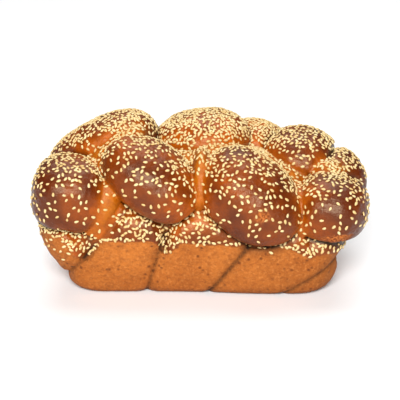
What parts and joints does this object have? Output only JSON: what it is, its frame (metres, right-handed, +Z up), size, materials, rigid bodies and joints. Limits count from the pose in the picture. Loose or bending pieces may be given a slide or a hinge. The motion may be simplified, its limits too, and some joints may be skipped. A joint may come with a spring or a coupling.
{
  "type": "braided loaf",
  "caption": "Braided bread loaf with bulging glazed crown, seed topping and smooth tapered sides moulded by a loaf tin.",
  "frame": {"origin": "on the flat underside, under the middle of the loaf's length and width", "axes": "+X along the loaf, +Y towards its back, +Z up out of the crown"},
  "size_m": [0.2448, 0.1348, 0.1222],
  "materials": {
    "crust": "satin",
    "sesame_seed": "matte"
  },
  "bodies": {
    "root": {"braided_loaf": "crust"}
  },
  "joints": []
}
